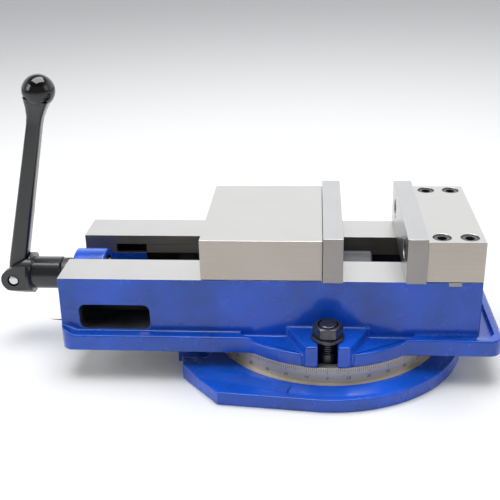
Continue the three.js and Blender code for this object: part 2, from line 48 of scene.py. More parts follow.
fitGap = 0.3  # between two pieces that touch
fullTurn = 2 * math.pi
metresPerMm = 0.001


def nodeBox(node):
    low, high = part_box(node)
    return low / metresPerMm, high / metresPerMm


# ---- shader helpers ----

def hexColour(code):
    # sRGB hex to the linear colour that a shader holds
    parts = [int(code[i:i + 2], 16) / 255 for i in (1, 3, 5)]
    linear = [p / 12.92 if p <= 0.04045 else ((p + 0.055) / 1.055) ** 2.4 for p in parts]
    return (*linear, 1.0)


def addNode(tree, kind, settings, links=None):
    node = tree.nodes.new(kind)
    for key, value in settings.items():
        if key == "stops":
            for stop, (place, colour) in zip(node.color_ramp.elements, value):
                stop.position, stop.color = place, colour
        elif isinstance(key, str) and hasattr(node, key):
            setattr(node, key, value)
        else:
            node.inputs[key].default_value = value
    for key, source in (links or {}).items():
        tree.links.new(source, node.inputs[key])
    return node


def startMaterial(name, shader):
    material = bpy.data.materials.new(name)
    material.use_nodes = True
    tree = material.node_tree
    tree.nodes.clear()
    surface = addNode(tree, "ShaderNodeBsdfPrincipled", shader)
    addNode(tree, "ShaderNodeOutputMaterial", {}, {"Surface": surface.outputs["BSDF"]})
    place = addNode(tree, "ShaderNodeTexCoord", {}).outputs["Object"]
    return material, tree, surface, place


def perMetre(sizeMm):
    # noise scale that gives features of about this size
    return 1 / (sizeMm * metresPerMm)


def blendColours(tree, surface, factor, dark, light, low=0.3, high=0.7):
    ramp = addNode(
        tree,
        "ShaderNodeValToRGB",
        {"stops": [(low, hexColour(dark)), (high, hexColour(light))]},
        {"Fac": factor},
    )
    tree.links.new(ramp.outputs["Color"], surface.inputs["Base Color"])


def varyRoughness(tree, surface, factor, low, high):
    spread = addNode(tree, "ShaderNodeMapRange", {"To Min": low, "To Max": high}, {"Value": factor})
    tree.links.new(spread.outputs["Result"], surface.inputs["Roughness"])


def addBump(tree, surface, height, depthMm, under=None):
    links = {"Height": height}
    if under:
        links["Normal"] = under.outputs["Normal"]
    bump = addNode(tree, "ShaderNodeBump", {"Strength": 1.0, "Distance": depthMm * metresPerMm}, links)
    tree.links.new(bump.outputs["Normal"], surface.inputs["Normal"])
    return bump


# ---- materials ----

# Gloss enamel sprayed over rough cast iron: the sand grain of the casting shows through as a soft
# ripple, and the paint is a little thinner and duller in patches.
enamelLook = {"light": "#1056d2", "dark": "#0d45a4", "roughness": (0.2, 0.32), "coat": 0.4,
              "grain": 1.7, "wave": 14, "patch": 45, "grainDepth": 0.02, "waveDepth": 0.07}


def makeBlueEnamel(look):
    shader = {"Coat Weight": look["coat"], "Coat Roughness": 0.12, "IOR": 1.45}
    material, tree, surface, place = startMaterial("sprayedBlueEnamel", shader)
    noise = {}
    for part, detail in (("patch", 3), ("wave", 2), ("grain", 3)):
        settings = {"Scale": perMetre(look[part]), "Detail": detail}
        noise[part] = addNode(tree, "ShaderNodeTexNoise", settings, {"Vector": place}).outputs["Fac"]
    blendColours(tree, surface, noise["patch"], look["dark"], look["light"])
    varyRoughness(tree, surface, noise["wave"], *look["roughness"])
    ripple = addBump(tree, surface, noise["wave"], look["waveDepth"])
    addBump(tree, surface, noise["grain"], look["grainDepth"], ripple)
    return material


# Surface-ground steel and iron: fine straight lines left by the wheel, on a surface that is
# nearly flat. Real lines are about 0.1 mm apart, and are drawn several times coarser to show.
groundLooks = {
    "groundSteel": {"light": "#c9c8c5", "dark": "#c5c4c1", "roughness": (0.3, 0.36), "along": "X",
                    "line": 1.1, "patch": 40, "lineDepth": 0.001},
    # the Side copies are the same steels drawn darker, as painted shade for the faces that look along Y
    "groundSteelPaintedShadeSide": {"light": "#b9b1a8", "dark": "#b3aba2", "roughness": (0.36, 0.42), "along": "X",
                        "line": 1.1, "patch": 40, "lineDepth": 0.001},
    "groundHardSteel": {"light": "#c0c0bf", "dark": "#bbbbba", "roughness": (0.28, 0.34), "along": "Y",
                        "line": 1.4, "patch": 30, "lineDepth": 0.001},
    "groundHardSteelPaintedShadeSide": {"light": "#9b9793", "dark": "#969290", "roughness": (0.34, 0.4), "along": "X",
                            "line": 1.4, "patch": 30, "lineDepth": 0.001},
    "milledCastIron": {"light": "#cdccca", "dark": "#c7c6c4", "roughness": (0.32, 0.4), "along": "X",
                       "line": 1.2, "patch": 50, "lineDepth": 0.001},
    "shadedIron": {"light": "#716e6a", "dark": "#625f5b", "roughness": (0.4, 0.5), "along": "X",
                   "line": 1.2, "patch": 30, "lineDepth": 0.001, "metallic": 0.3},
    "turnedSteelDial": {"light": "#cac3b6", "dark": "#bdb6a8", "roughness": (0.32, 0.4), "along": "XY",
                        "line": 0.7, "patch": 60, "lineDepth": 0.001, "metallic": 0.55},
    "turnedBrightSteel": {"light": "#c4c2bf", "dark": "#b4b2ae", "roughness": (0.22, 0.3), "along": "YZ",
                          "line": 0.8, "patch": 25, "lineDepth": 0.001},
}
lineStretch = 60  # a wheel or tool mark is this much longer than it is wide


def makeGroundMetal(name, look):
    material, tree, surface, place = startMaterial(name, {"Metallic": look.get("metallic", 1.0)})
    stretch = [perMetre(look["line"]) / (lineStretch if axis in look["along"] else 1) for axis in "XYZ"]
    turned = addNode(tree, "ShaderNodeMapping", {"Scale": stretch}, {"Vector": place})
    along = {"Vector": turned.outputs["Vector"]}
    lines = addNode(tree, "ShaderNodeTexNoise", {"Scale": 1.0, "Detail": 4}, along)
    settings = {"Scale": perMetre(look["patch"]), "Detail": 4}
    patch = addNode(tree, "ShaderNodeTexNoise", settings, {"Vector": place})
    pair = {0: lines.outputs["Fac"], 1: patch.outputs["Fac"]}
    both = addNode(tree, "ShaderNodeMath", {"operation": "ADD"}, pair)
    half = addNode(tree, "ShaderNodeMath", {"operation": "MULTIPLY", 1: 0.5}, {0: both.outputs["Value"]})
    blendColours(tree, surface, half.outputs["Value"], look["dark"], look["light"], 0.38, 0.62)
    varyRoughness(tree, surface, lines.outputs["Fac"], *look["roughness"])
    addBump(tree, surface, lines.outputs["Fac"], look["lineDepth"])
    return material


# Black oxide on alloy steel screws: a thin matt black skin over the steel, a little brown in patches.
oxideLook = {"light": "#626165", "dark": "#47464a", "roughness": (0.3, 0.42), "grain": 0.9, "patch": 7}
# Raw cast iron inside the casting and on the nut, drawn darker than bare iron as painted shade for the deep
# hollows and the gap between the jaws.
darkIronShadeLook = {"light": "#43464f", "dark": "#2b2d35", "roughness": (0.35, 0.55), "grain": 1.4, "patch": 18}
# Satin black paint on the forged handle: the forging's texture is just felt through it.
handleLook = {"light": "#161818", "dark": "#101212", "roughness": (0.3, 0.4), "grain": 1.3, "patch": 30}
# Moulded phenolic ball: glossy black, with a faint flow pattern.
knobLook = {"light": "#08090a", "dark": "#050506", "roughness": (0.06, 0.12), "grain": 3, "patch": 12}
# Bright zinc plate: silvery with a faint milky spangle.
zincLook = {"light": "#dcdedf", "dark": "#bfc2c4", "roughness": (0.2, 0.34), "grain": 1.2, "patch": 5}
# Oiled bearing bronze, turned.
bronzeLook = {"light": "#bd9257", "dark": "#8f6a3b", "roughness": (0.28, 0.42), "grain": 0.8, "patch": 6}
# Black engraver's filler in the dial's lines and figures.
fillerLook = {"light": "#26241f", "dark": "#151411", "roughness": (0.5, 0.65), "grain": 0.5, "patch": 4}


def makeSkin(name, look, shader, depthMm):
    material, tree, surface, place = startMaterial(name, shader)
    noise = {}
    for part, detail in (("patch", 4), ("grain", 3)):
        settings = {"Scale": perMetre(look[part]), "Detail": detail}
        noise[part] = addNode(tree, "ShaderNodeTexNoise", settings, {"Vector": place}).outputs["Fac"]
    blendColours(tree, surface, noise["patch"], look["dark"], look["light"])
    varyRoughness(tree, surface, noise["grain"], *look["roughness"])
    addBump(tree, surface, noise["grain"], depthMm)
    return material


enamel = makeBlueEnamel(enamelLook)
metals = {name: makeGroundMetal(name, look) for name, look in groundLooks.items()}
blackOxide = makeSkin("blackOxideSteel", oxideLook, {"Metallic": 0.85}, 0.01)
darkIronShade = makeSkin("castIronPaintedShade", darkIronShadeLook, {"Metallic": 0.1}, 0.05)
paintShader = {"IOR": 1.5, "Coat Weight": 0.6, "Coat Roughness": 0.12}
blackPaint = makeSkin("satinBlackPaint", handleLook, paintShader, 0.02)
blackKnob = makeSkin("mouldedPhenolic", knobLook, {"IOR": 1.6}, 0.004)
zinc = makeSkin("brightZincPlate", zincLook, {"Metallic": 1.0}, 0.006)
bronze = makeSkin("oiledBronze", bronzeLook, {"Metallic": 1.0}, 0.008)
filler = makeSkin("engravingFiller", fillerLook, {}, 0.01)
print("materials made:", len(bpy.data.materials))


# ---- mesh helpers ----

def addBlock(bm, x0, x1, y0, y1, z0, z1):
    verts = bmesh.ops.create_cube(bm, size=1)["verts"]
    bmesh.ops.scale(bm, vec=(x1 - x0, y1 - y0, z1 - z0), verts=verts)
    bmesh.ops.translate(bm, vec=((x0 + x1) / 2, (y0 + y1) / 2, (z0 + z1) / 2), verts=verts)
    return verts


def addBar(bm, start, end, radius, sides=64, endRadius=None):
    start, end = Vector(start), Vector(end)
    turn = (end - start).to_track_quat("Z", "Y").to_matrix().to_4x4()
    made = bmesh.ops.create_cone(
        bm,
        cap_ends=True,
        segments=sides,
        radius1=radius,
        radius2=radius if endRadius is None else endRadius,
        depth=(end - start).length,
        matrix=Matrix.Translation((start + end) / 2) @ turn,
    )
    return made["verts"]


def addPrism(bm, outline, low, high, axis="Z"):
    # a flat outline raised along an axis; its points are the other two axes in order
    spots = {"X": lambda a, b: (low, a, b), "Y": lambda a, b: (a, low, b), "Z": lambda a, b: (a, b, low)}
    rise = {"X": (high - low, 0, 0), "Y": (0, high - low, 0), "Z": (0, 0, high - low)}[axis]
    verts = [bm.verts.new(spots[axis](a, b)) for a, b in outline]
    raised = bmesh.ops.extrude_face_region(bm, geom=[bm.faces.new(verts)])["geom"]
    lifted = [item for item in raised if isinstance(item, bmesh.types.BMVert)]
    bmesh.ops.translate(bm, vec=rise, verts=lifted)
    return verts + lifted


def addTurned(bm, profile, origin, axis, steps=96):
    # profile points are (distance along the axis, radius); the ends lie on the axis or meet
    origin, axis = Vector(origin), Vector(axis)
    side = axis.orthogonal().normalized()
    verts = [bm.verts.new(origin + axis * along + side * radius) for along, radius in profile]
    edges = [bm.edges.new(pair) for pair in zip(verts, verts[1:])]
    bmesh.ops.spin(
        bm, geom=verts + edges, cent=origin, axis=axis, angle=fullTurn, steps=steps, use_merge=True
    )
    bmesh.ops.remove_doubles(bm, verts=bm.verts, dist=0.0005)


def addThread(bm, size, low, high, origin, axis, steps=36):
    # a screw thread as one turn-long profile swept round, then cut square and capped at both ends
    origin, axis = Vector(origin), Vector(axis)
    side = axis.orthogonal().normalized()
    pitch, crest, root = size["pitch"], size["crest"], size["root"]
    spots = [(0, root), (size["rootFlat"], root), (0.5 - size["crestFlat"] / 2 + size["rootFlat"] / 2, crest),
             (0.5 + size["crestFlat"] / 2 + size["rootFlat"] / 2, crest)]
    turns = math.ceil((high - low) / pitch) + 4
    verts = []
    for turn in range(turns):
        for part, radius in spots:
            along = low + (turn - 2 + part) * pitch
            verts.append(bm.verts.new(origin + axis * along + side * radius))
    edges = [bm.edges.new(pair) for pair in zip(verts, verts[1:])]
    step = axis * (size["hand"] * pitch / steps)
    bmesh.ops.spin(bm, geom=verts + edges, cent=origin, axis=axis, angle=fullTurn, steps=steps, dvec=step)
    bmesh.ops.remove_doubles(bm, verts=bm.verts, dist=0.002)
    for along, facing in ((low, -1), (high, 1)):
        bmesh.ops.bisect_plane(
            bm,
            geom=bm.verts[:] + bm.edges[:] + bm.faces[:],
            plane_co=origin + axis * along,
            plane_no=axis * facing,
            clear_outer=True,
        )
        rim = [edge for edge in bm.edges if edge.is_boundary
               and all(abs((v.co - origin).dot(axis) - along) < 0.001 for v in edge.verts)]
        bmesh.ops.holes_fill(bm, edges=rim, sides=0)


def solidFrom(bm, name="tool"):
    bmesh.ops.recalc_face_normals(bm, faces=bm.faces)
    mesh = bpy.data.meshes.new(name)
    bm.to_mesh(mesh)
    bm.free()
    solid = bpy.data.objects.new(name, mesh)
    bpy.context.scene.collection.objects.link(solid)
    return solid


def solidOf(add, *args, **words):
    # one solid object from one of the add functions above
    bm = bmesh.new()
    add(bm, *args, **words)
    return solidFrom(bm)


def carve(solid, operation, tools):
    # joins, cuts or keeps what tools share with solid, and leaves plain mesh behind
    for tool in tools:
        step = solid.modifiers.new("carve", "BOOLEAN")
        step.operation = operation
        step.solver = "EXACT"
        step.object = tool
    shaped = bpy.data.meshes.new_from_object(solid.evaluated_get(bpy.context.evaluated_depsgraph_get()))
    solid.modifiers.clear()
    solid.data = shaped
    for tool in tools:
        bpy.data.objects.remove(tool)
    return solid


def arcPoints(x, y, radius, start, end, steps):
    angles = [math.radians(start + (end - start) * i / steps) for i in range(steps + 1)]
    return [(x + radius * math.cos(a), y + radius * math.sin(a)) for a in angles]


def roundedRect(x0, x1, y0, y1, radius, steps=8):
    corners = [(x1 - radius, y1 - radius, 0), (x0 + radius, y1 - radius, 90),
               (x0 + radius, y0 + radius, 180), (x1 - radius, y0 + radius, 270)]
    return [point for x, y, start in corners for point in arcPoints(x, y, radius, start, start + 90, steps)]


def hexagon(flats, turn=0):
    radius = flats / math.sqrt(3)
    return [(radius * math.cos(math.radians(60 * i + turn)), radius * math.sin(math.radians(60 * i + turn)))
            for i in range(6)]


def finishPiece(solid, name, piece):
    # materials by face, rounded corners by edge, metres, and the piece's place in the frame
    solid.name = solid.data.name = name
    bm = bmesh.new()
    bm.from_mesh(solid.data)
    bmesh.ops.remove_doubles(bm, verts=bm.verts, dist=0.002)
    if piece.get("dissolve", True):
        bmesh.ops.dissolve_limit(bm, angle_limit=math.radians(0.3), verts=bm.verts, edges=bm.edges)
    if "split" in piece:
        piece["split"](bm)
    bmesh.ops.recalc_face_normals(bm, faces=bm.faces)
    solid.data.materials.clear()
    for material in piece["materials"]:
        solid.data.materials.append(material)
    pick = piece.get("pick")
    for face in bm.faces:
        face.smooth = True
        face.material_index = pick(face) if pick else 0
    corner = math.radians(piece.get("corner", 28))
    widest = max(piece["widths"].values()) if "widths" in piece else piece.get("round", 0)
    weights = bm.edges.layers.float.new("bevel_weight_edge")
    for edge in bm.edges:
        if len(edge.link_faces) == 2 and edge.calc_face_angle(0) > corner:
            kind = piece["kind"](edge) if "kind" in piece else None
            width = piece["widths"][kind] if kind else piece.get("round", 0)
            edge[weights] = width / widest if widest else 0
            edge.smooth = width > 0
    bmesh.ops.scale(bm, vec=(metresPerMm,) * 3, verts=bm.verts)
    bm.to_mesh(solid.data)
    bm.free()
    if widest:
        soften = solid.modifiers.new("softCorners", "BEVEL")
        soften.width = widest * metresPerMm
        soften.segments = piece.get("segments", 3)
        soften.limit_method = "WEIGHT"
        soften.use_clamp_overlap = piece.get("clamp", False)
        soften.miter_outer = "MITER_ARC"
    even = solid.modifiers.new("evenShading", "WEIGHTED_NORMAL")
    even.keep_sharp = True
    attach(solid, piece["body"])
    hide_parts(*piece["nodes"])
    print(name, len(solid.data.polygons), "faces")
    return solid


# ---- swivel base ----

base = {
    "top": nodeBox("swivel_base")[1].z, "steps": 180,
    "dialRadius": 111, "dialBottom": 16, "bareRadius": 115.4, "slopeTop": 118,
    "rimInner": 130, "rimRadius": 135, "rimTop": 13, "earTurn": -16, "earReach": 170,
    "slotWidth": 17, "slotY": -60, "slotInnerX": -120, "slotMouthX": -160,
    "pivotRadius": 15.3, "pivotBottom": 13.7,
    "clampRadius": 95, "throat": 17, "undercut": 24, "undercutBottom": 11, "undercutTop": 21.5,
    "bareStep": 0.4,
}
# the front left ear, whose front edge leaves the rim nearly tangent
earOutline = [(-16, -134), (-99.5, -126), (-137, -82.5), (-139, -69), (-146, -50), (-146, -40), (-131, -32),
              (-60, 0), (-31.1, -108.5), (-35.9, -125.2)]


def halfTurned(solid):
    # a second solid, half a turn round the swivel axis
    twin = solid.copy()
    twin.data = solid.data.copy()
    twin.data.transform(Matrix.Rotation(math.pi, 4, "Z"))
    bpy.context.scene.collection.objects.link(twin)
    return twin


def ringSolid(half, z0, z1):
    inner, outer = base["clampRadius"] - half, base["clampRadius"] + half
    profile = [(z0, inner), (z0, outer), (z1, outer), (z1, inner), (z0, inner)]
    return solidOf(addTurned, profile, (0, 0, 0), (0, 0, 1), 120)


def makeSwivelBase():
    bareTop = base["dialBottom"] - base["bareStep"]
    profile = [(0, 0), (0, base["rimRadius"]), (base["rimTop"], base["rimRadius"]),
               (base["rimTop"], base["rimInner"]), (base["dialBottom"], base["slopeTop"]),
               (base["dialBottom"], base["bareRadius"]), (bareTop, base["bareRadius"] - base["bareStep"] / 2),
               (bareTop, base["dialRadius"]), (base["top"], base["dialRadius"]), (base["top"], 0)]
    disc = solidOf(addTurned, profile, (0, 0, 0), (0, 0, 1), base["steps"])
    ear = solidOf(addPrism, earOutline, 0, base["rimTop"])
    # the disc's slope runs straight on across the ear, up to a flat round the slot
    section = [(0, 0), (0, base["dialBottom"]), (-base["slopeTop"], base["dialBottom"]),
               (-base["rimInner"], base["rimTop"]), (-base["rimInner"], 0)]
    raised = solidOf(addPrism, section, -base["earReach"], 0, "X")
    raised.data.transform(Matrix.Rotation(math.radians(base["earTurn"]), 4, "Z"))
    carve(raised, "INTERSECT", [solidOf(addPrism, earOutline, 0, base["top"])])
    middle = solidOf(addBar, (0, 0, -past), (0, 0, base["top"]), base["bareRadius"] + past, base["steps"])
    carve(raised, "DIFFERENCE", [middle])
    carve(ear, "UNION", [raised])
    carve(disc, "UNION", [ear, halfTurned(ear)])
    half, x, y = base["slotWidth"] / 2, base["slotInnerX"], base["slotY"]
    slot = solidOf(addBlock, base["slotMouthX"], x, y - half, y + half, -past, base["top"])
    carve(slot, "UNION", [solidOf(addBar, (x, y, -past), (x, y, base["top"]), half, 48)])
    holeRadius = base["undercut"] / 2 + 1
    loading = [
        solidOf(addBar, (x, 0, base["undercutBottom"]), (x, 0, base["top"] + past), holeRadius)
        for x in (-base["clampRadius"], base["clampRadius"])
    ]
    carve(disc, "DIFFERENCE", [
        slot,
        halfTurned(slot),
        ringSolid(base["throat"] / 2, base["undercutBottom"], base["top"] + past),
        ringSolid(base["undercut"] / 2, base["undercutBottom"], base["undercutTop"]),
        *loading,
        solidOf(addBar, (0, 0, base["pivotBottom"]), (0, 0, base["top"] + past), base["pivotRadius"]),
    ])
    return disc


def pickBaseFace(face):
    # bare iron on everything the lathe cut, and under the foot
    radii = [math.hypot(vert.co.x, vert.co.y) for vert in face.verts]
    centre = face.calc_center_median()
    if max(radii) < base["dialRadius"] - 1 and centre.z > 1 or centre.z < 0.01:
        return 2
    return 1 if max(radii) < base["bareRadius"] + 0.1 and centre.z > base["dialBottom"] - 0.5 else 0


def baseEdgeKind(edge):
    middle = (edge.verts[0].co + edge.verts[1].co) / 2
    radius = math.hypot(middle.x, middle.y)
    if radius < base["bareRadius"] + 1 and middle.z > base["undercutBottom"] - 1:
        return "turned" if radius > base["dialRadius"] - 2 else "hidden"
    if middle.z < 0.1:
        return "foot"
    return "rounded" if edge.is_convex else "fillet"


makeBase = {
    "body": "base", "nodes": ["swivel_base"], "slot": "blue_enamel",
    "materials": [enamel, metals["turnedSteelDial"], metals["milledCastIron"]], "pick": pickBaseFace,
    "kind": baseEdgeKind, "widths": {"turned": 0.3, "hidden": 0, "foot": 0.8, "rounded": 1.2, "fillet": 1.5},
    "corner": 10,
}
finishPiece(makeSwivelBase(), "swivelBaseCasting", makeBase)


# ---- vise body ----

bodyLow, bodyHigh = nodeBox("vise_body")
bedRight = nodeBox("fixed_jaw")[1].x
screwZ = 72.2
body = {
    "bottom": bodyLow.z, "top": bodyHigh.z, "left": -251.5, "right": bedRight, "half": 75.2,
    "channel": 30, "channelFloor": 46,
    "groove": 40, "grooveBottom": 69, "grooveTop": 81.7, "grooveLeft": -187,
    "flangeTop": 47.5, "flangeHalf": 86.5, "flangeRight": bodyHigh.x, "flangeCorner": 11.3,
    "gutterRight": 153.5, "gutterFloor": 41.5, "discTop": 44, "discRadius": 111,
    "lugTop": 54, "lugBottom": 33.5, "lugRoot": 37.5, "lugTip": 19.6, "lugY": 113.5, "lugSlot": 17.8,
    "windowLeft": -233.4, "windowRight": -167, "windowBottom": 49, "windowTop": 73.4, "windowCorner": 6,
    "chamber": 62, "chamberWall": 36, "chamberPastLeft": 4, "chamberPastRight": 12,
    "portLeft": -218.5, "portBottom": 82, "portTop": 91.5, "portCorner": 1.5,
    "gussetTop": 54, "gussetRun": 14,
    "bossRadius": 25.3, "bossSoft": 2.5, "bossLeft": bodyLow.x, "bossRight": -221.5, "journal": 11.3,
    "bearing": 18.9, "bearingSeat": -235.5,
}


def alongXBar(x0, x1, radius, sides=96):
    return solidOf(addBar, (x0, 0, screwZ), (x1, 0, screwZ), radius, sides)


def makeViseBody():
    b = body
    wide = b["flangeHalf"]
    flangeOutline = roundedRect(b["left"], b["flangeRight"], -wide, wide, b["flangeCorner"], 12)
    casting = solidOf(addPrism, flangeOutline, b["bottom"], b["flangeTop"])
    overTop = (0, 0, b["flangeTop"] + past)
    overDisc = solidOf(addBar, (0, 0, b["discTop"]), overTop, b["discRadius"], base["steps"])
    carve(casting, "DIFFERENCE", [overDisc])
    walls = solidOf(addBlock, b["left"], b["right"], -b["half"], b["half"], b["bottom"], b["top"])
    disc = solidOf(addBar, (0, 0, b["bottom"]), (0, 0, b["discTop"]), b["discRadius"], base["steps"])
    added = [walls, disc]
    for side in (-1, 1):
        inner, outer, tip = side * (b["half"] - 20), side * b["half"], side * b["lugY"]
        lug = [(-b["lugRoot"], inner), (-b["lugRoot"], outer), (-b["lugTip"], tip),
               (b["lugTip"], tip), (b["lugRoot"], outer), (b["lugRoot"], inner)]
        added.append(solidOf(addPrism, lug, b["lugBottom"], b["lugTop"]))
    web = [(b["left"], b["flangeTop"] - past), (b["left"] + b["gussetRun"], b["flangeTop"] - past),
           (b["left"] + b["gussetRun"], b["flangeTop"]), (b["left"], b["gussetTop"])]
    gussets = solidOf(addPrism, web, -wide, wide, "Y")
    overFlange = solidOf(addPrism, flangeOutline, b["bottom"], b["gussetTop"] + past)
    added.append(carve(gussets, "INTERSECT", [overFlange]))
    carve(casting, "UNION", added)

    windowSides = b["windowLeft"], b["windowRight"], b["windowBottom"], b["windowTop"]
    window = roundedRect(*windowSides, b["windowCorner"])
    port = roundedRect(b["portLeft"], b["grooveLeft"], b["portBottom"], b["portTop"], b["portCorner"])
    chamberPast = b["chamberPastLeft"]
    left, right, over = b["left"] - past, b["right"] + past, b["top"] + past
    chamberEnds = (b["windowLeft"] - chamberPast, b["windowRight"] + b["chamberPastRight"])
    channel, groove, portHalf = b["channel"], b["groove"], b["chamberWall"] + chamberPast
    removed = [
        solidOf(addBlock, left, right, -channel, channel, b["channelFloor"], over),
        solidOf(addBlock, b["grooveLeft"], right, -groove, groove, b["grooveBottom"], b["grooveTop"]),
        solidOf(addPrism, window, -2 * b["half"], -b["chamberWall"], "Y"),
        solidOf(addPrism, port, -portHalf, portHalf, "Y"),
    ]
    for side in (-1, 1):
        deep = sorted((side * b["chamberWall"], side * b["chamber"]))
        removed.append(solidOf(addBlock, *chamberEnds, *deep, b["windowBottom"], b["portTop"]))
        slotY = side * base["clampRadius"]
        mouth = sorted((slotY, side * (b["lugY"] + 5)))
        half = b["lugSlot"] / 2
        removed.append(solidOf(addBlock, -half, half, *mouth, b["bottom"] - past, b["lugTop"] + past))
        ends = [(0, slotY, z) for z in (b["bottom"] - past, b["lugTop"] + past)]
        removed.append(solidOf(addBar, *ends, half, 48))
    carve(casting, "DIFFERENCE", removed)

    across = channel + past
    foot = solidOf(addBlock, b["left"], b["bossRight"] - 2, -across, across, b["channelFloor"] - past, screwZ)
    soft, radius = b["bossSoft"], b["bossRadius"]
    bend = [(soft * (1 - math.sin(a)), radius - soft * (1 - math.cos(a)))
            for a in (math.radians(angle) for angle in (90, 60, 30, 0))]
    profile = [(b["bossLeft"], 0), *((b["bossLeft"] + along, out) for along, out in bend),
               *((b["bossRight"] - along, out) for along, out in reversed(bend)), (b["bossRight"], 0)]
    carve(casting, "UNION", [foot, solidOf(addTurned, profile, (0, 0, screwZ), (1, 0, 0), 96)])

    gutter = roundedRect(b["right"], b["gutterRight"], -b["half"], b["half"], 5)
    keyLow, keyHigh = nodeBox("fixed_jaw_key")
    pinTop = nodeBox("swivel_pivot_pin")[1].z + fitGap
    bored = [
        alongXBar(b["bossLeft"] - past, b["bossRight"] + past, b["journal"]),
        alongXBar(b["bearingSeat"], b["bossRight"] + past, b["bearing"]),
        solidOf(addPrism, gutter, b["gutterFloor"], b["flangeTop"] + past),
        solidOf(addBlock, keyLow.x, keyHigh.x, -b["half"] - past, b["half"] + past, keyLow.z, over),
        solidOf(addBar, (0, 0, b["bottom"] - past), (0, 0, pinTop), base["pivotRadius"]),
    ]
    for number in range(1, 5):
        boltLow, boltHigh = nodeBox(f"fixed_jaw_bolt_{number}")
        x, y = (boltLow.x + boltHigh.x) / 2, (boltLow.y + boltHigh.y) / 2
        bored.append(solidOf(addBar, (x, y, boltLow.z - 2), (x, y, b["top"] + past), 5 + fitGap, 24))
    return carve(casting, "DIFFERENCE", bored)


def splitWalls(bm):
    # the paint in the channel stops where the milled walls start
    walls = [face for face in bm.faces
             if all(abs(abs(vert.co.y) - body["channel"]) < 0.05 for vert in face.verts)]
    walls = bmesh.ops.triangulate(bm, faces=walls)["faces"]
    items = walls + list({item for face in walls for item in (*face.edges, *face.verts)})
    bmesh.ops.bisect_plane(bm, geom=items, plane_co=(0, 0, body["grooveTop"] + 0.01), plane_no=(0, 0, 1))


def pickBodyFace(face):
    # enamel, then milled tops and feet, milled walls in the shade drawn darker as painted shade, and raw iron
    # in the hollows darkened as painted shade
    b, centre, normal = body, face.calc_center_median(), face.normal
    if centre.z > b["top"] - 0.1 or centre.z < b["bottom"] + 0.05:
        return 1
    if abs(centre.x - b["bossLeft"]) < 0.1:
        return 1
    fromAxis = max(math.hypot(vert.co.y, vert.co.z - screwZ) for vert in face.verts)
    if fromAxis < b["bearing"] + 0.2 and centre.x < b["bossRight"] + 0.1:
        return 3
    if abs(abs(centre.y) - b["channel"]) < 0.1 and abs(normal.y) > 0.9 and centre.z > b["grooveTop"] - 0.1:
        return 2
    inChamber = (b["windowLeft"] - b["chamberPastLeft"] - past < centre.x
                 and centre.x < b["windowRight"] + b["chamberPastRight"] + past
                 and b["chamberWall"] < abs(centre.y) < b["half"] - 2
                 and b["windowBottom"] - 0.1 < centre.z < b["portTop"] + 0.1)
    reach = max(abs(vert.co.y) for vert in face.verts)
    inside = reach < b["half"] - 1 and b["left"] + 1 < centre.x < b["right"]
    beside = abs(centre.y) > b["channel"] + 0.2 or centre.x > b["grooveLeft"]
    return 3 if inChamber or inside and beside and centre.z > b["channelFloor"] - 0.1 else 0


def bodyEdgeKind(edge):
    b = body
    middle = (edge.verts[0].co + edge.verts[1].co) / 2
    radius = math.hypot(middle.x, middle.y)
    fromAxis = math.hypot(middle.y, middle.z - screwZ)
    inside = abs(middle.y) < b["half"] - 1
    if middle.z > b["top"] - 5 or middle.z < b["bottom"] + 0.1:
        return "machined" if middle.z > b["top"] - 0.1 or radius > 60 else "hidden"
    if middle.x > b["portLeft"] - 1 and inside and middle.z > b["channelFloor"] + 1:
        return "machined" if abs(middle.y) < b["channel"] + 1 and middle.x < b["right"] - 1 else "hidden"
    onBoss = abs(fromAxis - b["bossRadius"]) < 3
    if inside and (onBoss or fromAxis < b["bearing"] + 1 or abs(middle.z - screwZ) < 0.1):
        return "hidden"
    if radius < 60 and middle.z < b["channelFloor"]:
        return "hidden"
    return "rounded" if edge.is_convex else "fillet"


bodyPiece = {
    "body": "vise", "nodes": ["vise_body"], "slot": "blue_enamel",
    "materials": [enamel, metals["milledCastIron"], metals["shadedIron"], darkIronShade], "pick": pickBodyFace,
    "split": splitWalls, "kind": bodyEdgeKind,
    "widths": {"machined": 0.5, "hidden": 0, "rounded": 1.6, "fillet": 2.4},
}
finishPiece(makeViseBody(), "viseBodyCasting", bodyPiece)


# ---- socket head screws ----

vThread = {"crestFlat": 0.12, "rootFlat": 0.2, "hand": 1}
m10 = {"head": 8, "headHeight": 10, "shank": 5, "bore": 8.3, "socket": 8, "socketDepth": 5, "length": 44,
       "thread": {**vThread, "pitch": 1.5, "crest": 5, "root": 4.1}, "threaded": 26}
m12 = {"head": 9, "headHeight": 12, "shank": 6, "bore": 10, "socket": 10, "socketDepth": 6, "length": 26,
       "thread": {**vThread, "pitch": 1.75, "crest": 6, "root": 4.9}, "threaded": 20}
headSink = 0.8
headTurn = 0.35  # each head stops at its own angle, in radians


def joinShells(solids):
    # several closed shells in one mesh, where one runs inside the next
    bm = bmesh.new()
    for solid in solids:
        bm.from_mesh(solid.data)
        bpy.data.objects.remove(solid)
    return solidFrom(bm)


def makeCapScrew(size, place):
    # upright at the origin with the top of the head at z = 0, then moved to its place
    head, deep = size["head"], size["headHeight"]
    profile = [(-deep, 0), (-deep, head - 0.3), (0.3 - deep, head), (-0.9, head), (-0.25, head - 0.35),
               (0, head - 1), (0, 0)]
    screw = solidOf(addTurned, profile, (0, 0, 0), (0, 0, 1), 64)
    socket = solidOf(addPrism, hexagon(size["socket"]), -size["socketDepth"], past)
    lead = solidOf(addBar, (0, 0, -1.3), (0, 0, 0.2), 0, 48, 1.5 + size["socket"] / math.sqrt(3))
    carve(screw, "DIFFERENCE", [socket, lead])
    end = -deep - size["length"]
    shank = solidOf(addBar, (0, 0, end + size["threaded"]), (0, 0, 0.4 - deep), size["shank"], 48)
    thread = solidOf(addThread, size["thread"], end, end + size["threaded"] + 0.2, (0, 0, 0), (0, 0, 1), 24)
    whole = joinShells([screw, shank, thread])
    whole.data.transform(place)
    return whole


